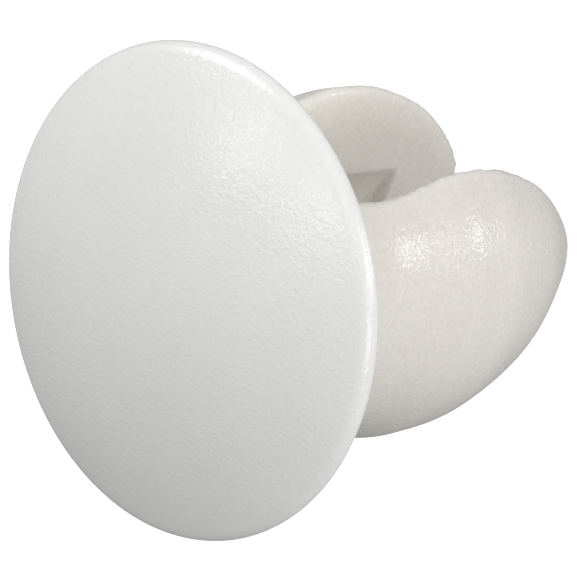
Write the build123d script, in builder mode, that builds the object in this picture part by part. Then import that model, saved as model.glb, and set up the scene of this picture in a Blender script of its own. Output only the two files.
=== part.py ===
from build123d import *
import os
from math import cos, radians, sin

# Moulded nylon plug that closes a round hole in a panel: a shallow domed head and two legs that
# stand on its underside, parted by one wide slot. The legs are thick, hollowed on their inner
# faces, and share one turned outline: neck, snap barb and blunt nose.
# Origin: centre of the head's flat underside. The panel's outer face meets the seat there.
# +Y: along the legs, away from the head. +Z: up. Lengths are in millimetres, angles in degrees.

# Panel hole that the plug is sold for
hole_diameter = 8.0
neck_clearance = 0.05        # radial gap between the neck's waist and the hole
barb_grip = 0.37

# Head
head_diameter = 11.6
edge_thickness = 0.42
dome_rise = 1.40
rim_round = 0.20             # both corners of the rim

# Outline of the legs, measured along +Y from the seat
neck_flare = 0.40
waist_at = 3.6
shoulder_length = 1.8
land_length = 1.4
nose_length = 5.1
nose_end_radius = 2.55
nose_bulge = 0.38
tip_length = 0.63

# Slot between the legs, and the hollow along each leg's inner face
slot_width = 3.9
slot_turn = 26.0             # angle about the axis from +Z to the slot's mouth, towards +X
hollow_diameter = 4.7
hollow_length = 9.3
leg_edge_round = 0.25
leg_sink = 0.30              # depth to which the legs run into the head

head_radius = head_diameter / 2
waist_radius = hole_diameter / 2 - neck_clearance
barb_radius = hole_diameter / 2 + barb_grip
shoulder_end = waist_at + shoulder_length
land_end = shoulder_end + land_length
nose_end = land_end + nose_length
leg_length = nose_end + tip_length

# Directions of the slot: across is square to its walls, along runs out of both of its mouths
across = Vector(cos(radians(slot_turn)), 0, -sin(radians(slot_turn)))
along = Vector(sin(radians(slot_turn)), 0, cos(radians(slot_turn)))

with BuildPart() as legs:
    # Neck, barb and nose as one smooth outline, turned about the axis
    with BuildSketch(Plane((0, 0, 0), x_dir=along, z_dir=-across)):
        with BuildLine():
            outline = Spline(
                (waist_radius + neck_flare, -leg_sink),
                (waist_radius, waist_at),
                (barb_radius, shoulder_end),
                (barb_radius, land_end),
                ((barb_radius + nose_end_radius) / 2 + nose_bulge, (land_end + nose_end) / 2),
                (nose_end_radius, nose_end),
                (0, leg_length),
                tangents=[(0, 1), (-1, 0)],
            )
            axis_line = Line(outline @ 1, (0, -leg_sink))
            Line(axis_line @ 1, outline @ 0)
        make_face()
    revolve(axis=Axis.Y)

    # Slot: one straight cut that parts the legs
    with BuildSketch(Plane((0, -leg_sink, 0), x_dir=across, z_dir=along)):
        Rectangle(slot_width, 2 * leg_length, align=(Align.CENTER, Align.MIN))
    extrude(amount=head_radius, both=True, mode=Mode.SUBTRACT)
    walls = legs.faces().filter_by(GeomType.PLANE).filter_by(Axis((0, 0, 0), across))
    fillet(walls.edges().filter_by(GeomType.BSPLINE), leg_edge_round)

    # Hollow: a round core leaves a shallow groove along each inner face
    with BuildSketch(Plane.XZ.offset(leg_sink)):
        Circle(hollow_diameter / 2)
    extrude(amount=-leg_sink - hollow_length, mode=Mode.SUBTRACT)

with BuildPart() as hole_plug:
    # Head: half of its section, rounded at the rim, turned about the axis
    dome_radius = (head_radius**2 + dome_rise**2) / (2 * dome_rise)
    with BuildSketch(Plane.XY) as head_section:
        with BuildLine():
            seat = Line((0, 0), (head_radius, 0))
            edge = Line(seat @ 1, (head_radius, -edge_thickness))
            dome = RadiusArc(edge @ 1, (0, -edge_thickness - dome_rise), dome_radius)
            Line(dome @ 1, seat @ 0)
        make_face()
        fillet(head_section.vertices().group_by(Axis.X)[-1], rim_round)
    revolve(axis=Axis.Y)
    add(legs.part)

hole_plug.part.label = "hole_plug"
os.makedirs("parts", exist_ok=True)
export_step(hole_plug.part, "parts/hole_plug.step")
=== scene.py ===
import math

import bmesh
import bpy
import numpy as np
from mathutils import Matrix, Vector


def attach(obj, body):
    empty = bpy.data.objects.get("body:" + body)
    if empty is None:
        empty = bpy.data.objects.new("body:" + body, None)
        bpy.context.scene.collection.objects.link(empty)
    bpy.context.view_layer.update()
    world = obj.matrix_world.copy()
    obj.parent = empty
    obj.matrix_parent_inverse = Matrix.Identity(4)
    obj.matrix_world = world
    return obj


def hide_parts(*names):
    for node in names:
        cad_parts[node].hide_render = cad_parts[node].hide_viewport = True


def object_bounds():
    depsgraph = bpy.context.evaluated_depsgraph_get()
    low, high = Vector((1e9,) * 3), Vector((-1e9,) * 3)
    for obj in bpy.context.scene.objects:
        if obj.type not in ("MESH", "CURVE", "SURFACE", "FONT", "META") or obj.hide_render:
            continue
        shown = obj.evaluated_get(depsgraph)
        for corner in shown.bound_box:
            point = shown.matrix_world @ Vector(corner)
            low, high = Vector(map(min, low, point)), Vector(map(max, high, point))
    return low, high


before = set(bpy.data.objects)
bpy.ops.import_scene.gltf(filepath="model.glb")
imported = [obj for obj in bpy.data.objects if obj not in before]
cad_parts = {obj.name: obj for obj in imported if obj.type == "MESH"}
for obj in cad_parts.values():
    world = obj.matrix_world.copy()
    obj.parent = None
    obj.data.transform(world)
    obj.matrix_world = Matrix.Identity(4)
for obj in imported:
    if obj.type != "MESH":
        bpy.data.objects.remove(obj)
cad_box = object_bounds()

# ---------------------------------------------------------------- hole plug
# One injection moulding in natural nylon: a shallow domed head and two barbed legs.
# The plastic is milky, so a little light goes in and comes out again. The mould leaves a fine
# orange-peel grain, and the thick legs look warmer and more speckled than the thin head.

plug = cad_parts["hole_plug"]
box_low, box_high = cad_box
per_mm = 1e-3                # the form below is in millimetres, +Y along the legs
mesh_step = 0.09             # keeps the mesh under 200,000 triangles

head_radius = box_high[0] / per_mm
dome_top = -box_low[1] / per_mm
rim_edge = 0.42              # straight part of the rim, before it's rounded

neck_radius = 3.90
barb_radius = 4.42
neck_foot = (0.0, 4.42)      # points down the legs' outline, each as (y, radius)
neck_waist = (2.7, neck_radius)
barb_foot = (3.4, neck_radius)
barb_crest = (5.3, 4.38)
nose = [(7.0, barb_radius), (9.2, 3.93), (10.8, 3.21), (12.2, 2.36)]
leg_end = 12.3

neck_end = 5.0               # the neck goes on inside the barb
leg_sink = 0.3               # and the legs start inside the head
slot_half = 1.95
slot_turn = math.radians(26)
hollow_radius = 2.35
hollow_end = 9.3

rim_soft = 0.25              # how far from a corner its rounding starts
neck_soft = 0.25
barb_soft = 0.08
nose_softs = (0.12, 0.3, 0.3)
tip_soft = 0.35
slot_soft = 0.28
hollow_edge_soft = 0.04
hollow_end_soft = 0.1
root_soft = 0.12
buried_soft = 0.2


def meet(one, other, soft):
    """Where two bodies overlap, with the edge between them rounded."""
    blend = np.maximum(soft - np.abs(one - other), 0) / soft
    return np.maximum(one, other) + blend * blend * soft / 4


def join(one, other, soft):
    """Both bodies together, with the corner between them filled."""
    return -meet(-one, -other, soft)


def cone(y, radius, start, end):
    """Height over a cone's skin, which runs through two points given as (y, radius)."""
    run = end[0] - start[0]
    fall = end[1] - start[1]
    return ((radius - start[1]) * run - (y - start[0]) * fall) / math.hypot(run, fall)


def plug_skin(points):
    """Height over the plug's skin: below zero inside, above zero outside."""
    x, y, z = points.T
    radius = np.hypot(x, z)
    off_slot = np.abs(x * math.cos(slot_turn) - z * math.sin(slot_turn))

    rise = dome_top - rim_edge
    dome_radius = (head_radius ** 2 + rise ** 2) / (2 * rise)
    dome = np.hypot(radius, y + dome_top - dome_radius) - dome_radius
    head = meet(meet(dome, radius - head_radius, rim_soft), y, rim_soft)

    barb = meet(cone(y, radius, barb_foot, barb_crest), radius - barb_radius, barb_soft)
    for start, end, soft in zip(nose, nose[1:], nose_softs):
        barb = meet(barb, cone(y, radius, start, end), soft)
    neck = join(cone(y, radius, neck_foot, neck_waist), radius - neck_radius, neck_soft)
    leg = join(barb, meet(neck, y - neck_end, buried_soft), neck_soft)
    leg = meet(leg, y - leg_end, tip_soft)
    leg = meet(leg, slot_half - off_slot, slot_soft)
    hollow = meet(radius - hollow_radius, y - hollow_end, hollow_end_soft)
    leg = meet(leg, -hollow, hollow_edge_soft)
    leg = meet(leg, -leg_sink - y, buried_soft)
    return join(head, leg, root_soft)


def settle(points, rounds, nudge=0.002, share=0.8, least_steep=0.25):
    """Move every point straight out or in, by a share of the way, until it lies on the skin."""
    for _ in range(rounds):
        here = plug_skin(points)
        ahead = [plug_skin(points + nudge * axis) for axis in np.eye(3)]
        slope = (np.stack(ahead, 1) - here[:, None]) / nudge
        steep = np.maximum((slope * slope).sum(1), least_steep)
        points = points - slope * (share * here / steep)[:, None]
    return points


def spread(points, edges, rounds=5):
    """Even out the spaces between neighbouring points, and keep them on the skin."""
    ends = np.concatenate([edges[:, 0], edges[:, 1]])
    others = np.concatenate([edges[:, 1], edges[:, 0]])
    count = np.bincount(ends, minlength=len(points))
    for _ in range(rounds):
        around = [np.bincount(ends, points[others, i], len(points)) / count for i in range(3)]
        points = settle(0.5 * points + 0.5 * np.stack(around, 1), 3)
    return points


blank = bmesh.new()
blank.from_mesh(plug.data)
bmesh.ops.remove_doubles(blank, verts=blank.verts, dist=1e-6)
bmesh.ops.scale(blank, vec=(1 / per_mm,) * 3, verts=blank.verts)
blank_mesh = bpy.data.meshes.new("moulding")
blank.to_mesh(blank_mesh)
blank.free()
moulding = bpy.data.objects.new("moulding", blank_mesh)
bpy.context.collection.objects.link(moulding)

even = moulding.modifiers.new("even_mesh", "REMESH")
even.mode = "VOXEL"
even.voxel_size = mesh_step
depsgraph = bpy.context.evaluated_depsgraph_get()
moulding.data = bpy.data.meshes.new_from_object(moulding.evaluated_get(depsgraph))
moulding.modifiers.clear()

points = np.empty(len(moulding.data.vertices) * 3)
moulding.data.vertices.foreach_get("co", points)
edges = np.empty(len(moulding.data.edges) * 2, dtype=np.int32)
moulding.data.edges.foreach_get("vertices", edges)
points = settle(points.reshape(-1, 3), 12)
points = spread(points, edges.reshape(-1, 2))
moulding.data.vertices.foreach_set("co", (points * per_mm).ravel())
moulding.data.shade_smooth()
moulding.data.update()


class Sock:
    """A socket of a material's node, so that shader maths reads as arithmetic."""

    def __init__(self, shade, out):
        self.shade = shade
        self.out = out

    def math(self, operation, other):
        return self.shade.node("ShaderNodeMath", {"operation": operation}, {0: self, 1: other})

    def __add__(self, other):
        return self.math("ADD", other)

    def __mul__(self, other):
        return self.math("MULTIPLY", other)

    __radd__ = __add__
    __rmul__ = __mul__


class Shade:
    """A new material and one way to add nodes to it: type, settings, then sockets."""

    def __init__(self, name):
        self.material = bpy.data.materials.new(name)
        self.material.use_nodes = True
        self.tree = self.material.node_tree
        self.tree.nodes.clear()

    def node(self, kind, settings, sockets, out=0):
        """Sockets go by name, or by number where a node has several of one name."""
        node = self.tree.nodes.new(kind)
        for key, value in settings.items():
            setattr(node, key, value)
        for key, value in sockets.items():
            if isinstance(value, Sock):
                self.tree.links.new(value.out, node.inputs[key])
            else:
                node.inputs[key].default_value = value
        if node.outputs:
            return Sock(self, node.outputs[out])

    def blend(self, share, low, high):
        """One colour turning into another as the share goes from 0 to 1."""
        return self.node("ShaderNodeMix", {"data_type": "RGBA"}, {0: share, 6: low, 7: high}, out=2)


head_shade = (0.86, 0.86, 0.84, 1)
head_pale = (0.93, 0.93, 0.92, 1)
leg_shade = (0.70, 0.67, 0.62, 1)
leg_pale = (0.93, 0.90, 0.85, 1)

nylon = Shade("nylon")
place = nylon.node("ShaderNodeTexCoord", {}, {}, out="Object")
along = nylon.node("ShaderNodeSeparateXYZ", {}, {"Vector": place}, out="Y")
leg_share = nylon.node(
    "ShaderNodeMapRange", {"clamp": True}, {"Value": along, "From Min": -0.2e-3, "From Max": 0.4e-3},
)
cloud = nylon.node("ShaderNodeTexNoise", {}, {"Vector": place, "Scale": 420.0, "Detail": 3.0})
speck = nylon.node("ShaderNodeTexNoise", {}, {"Vector": place, "Scale": 8000.0, "Detail": 2.0})
grain = nylon.node(
    "ShaderNodeTexNoise", {}, {"Vector": place, "Scale": 9000.0, "Detail": 2.0, "Roughness": 0.6},
)

head_white = nylon.blend(cloud, head_shade, head_pale)
leg_white = nylon.blend(0.3 * cloud + 0.7 * speck, leg_shade, leg_pale)
shader = nylon.node("ShaderNodeBsdfPrincipled", {}, {
    "Base Color": nylon.blend(leg_share, head_white, leg_white),
    "Roughness": 0.12 + 0.06 * cloud + 0.16 * speck,
    "IOR": 1.53,
    "Normal": nylon.node("ShaderNodeBump", {}, {"Strength": 0.8, "Distance": 0.02e-3, "Height": grain}),
    "Subsurface Weight": 0.35,
    "Subsurface Radius": (1.0, 0.95, 0.85),
    "Subsurface Scale": 0.8e-3,
})
nylon.node("ShaderNodeOutputMaterial", {}, {"Surface": shader})

moulding.data.materials.clear()
moulding.data.materials.append(nylon.material)
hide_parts("hole_plug")
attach(moulding, "root")

# ---------------------------------------------------------------- floor
# A plain white sheet just under the head's rim. It isn't part of the object, and it neither
# lights the plug nor shows in it.

floor_reach = 0.9
floor_gap = 0.05
floor_mesh = bpy.data.meshes.new("floor")
floor_mesh.from_pydata(
    [(x * floor_reach, y * floor_reach, 0) for x, y in ((-1, -1), (1, -1), (1, 1), (-1, 1))],
    [],
    [(0, 1, 2, 3)],
)
floor = bpy.data.objects.new("floor", floor_mesh)
floor.location = (0, 0, (-head_radius - floor_gap) * per_mm)
floor.visible_diffuse = False
floor.visible_glossy = False
floor.visible_shadow = False
bpy.context.collection.objects.link(floor)

paper = Shade("floor_paper")
paper_shader = paper.node("ShaderNodeBsdfPrincipled", {}, {
    "Base Color": (0.9, 0.9, 0.9, 1),
    "Roughness": 0.9,
    "Emission Color": (1, 1, 1, 1),
    "Emission Strength": 0.88,
})
paper.node("ShaderNodeOutputMaterial", {}, {"Surface": paper_shader})
floor_mesh.materials.append(paper.material)

# ---------------------------------------------------------------- camera
# In front of the head, to its right and a little above. It looks just to the right of the
# middle of the head's underside.

azimuth = math.radians(41.3)
elevation = math.radians(9.6)
distance = 47.7e-3
aim_right = 2.43e-3

back = Vector((
    math.sin(azimuth) * math.cos(elevation),
    -math.cos(azimuth) * math.cos(elevation),
    math.sin(elevation),
))
right = Vector((math.cos(azimuth), math.sin(azimuth), 0))
up = back.cross(right)

lens = bpy.data.cameras.new("camera")
lens.sensor_width = 36
lens.lens = 127.4
lens.clip_start = 1e-3
lens.clip_end = 5
camera = bpy.data.objects.new("camera", lens)
bpy.context.collection.objects.link(camera)
turn = Matrix((right, up, back)).transposed().to_4x4()
camera.matrix_world = Matrix.Translation(back * distance + right * aim_right) @ turn
bpy.context.scene.camera = camera

# ---------------------------------------------------------------- light
# A bright tent with soft boxes in it. The key stands high on the left, and two small windows on
# the left lay a sheen near the head's right edge. Boxes on the right, low down and in front light
# the legs, and a narrow one beside them picks out their ridges.

bpy.context.scene.view_settings.view_transform = "Standard"
world = bpy.data.worlds.new("studio")
bpy.context.scene.world = world
world.use_nodes = True
tent = world.node_tree.nodes["Background"]
tent.inputs["Color"].default_value = (1, 1, 1, 1)
tent.inputs["Strength"].default_value = 0.285


def soft_box(name, side, rise, front, size, power):
    """A square area light that looks at the plug, placed in camera directions."""
    spot = right * side + up * rise + back * front
    lamp = bpy.data.lights.new(name, "AREA")
    lamp.size = size
    lamp.energy = power
    item = bpy.data.objects.new(name, lamp)
    item.matrix_world = Matrix.Translation(spot) @ spot.to_track_quat("Z", "Y").to_matrix().to_4x4()
    bpy.context.collection.objects.link(item)


soft_box("key", -0.110, 0.160, 0.040, 0.090, 0.195)
soft_box("window_high", -0.155, 0.066, 0.106, 0.036, 0.034)
soft_box("window_low", -0.112, 0.027, 0.162, 0.036, 0.034)
soft_box("right", 0.160, 0.020, 0.110, 0.080, 0.108)
soft_box("low", 0.120, -0.080, 0.140, 0.080, 0.100)
soft_box("front", 0.030, 0.050, 0.190, 0.080, 0.040)
soft_box("ridge", 0.196, 0.038, 0.006, 0.014, 0.040)
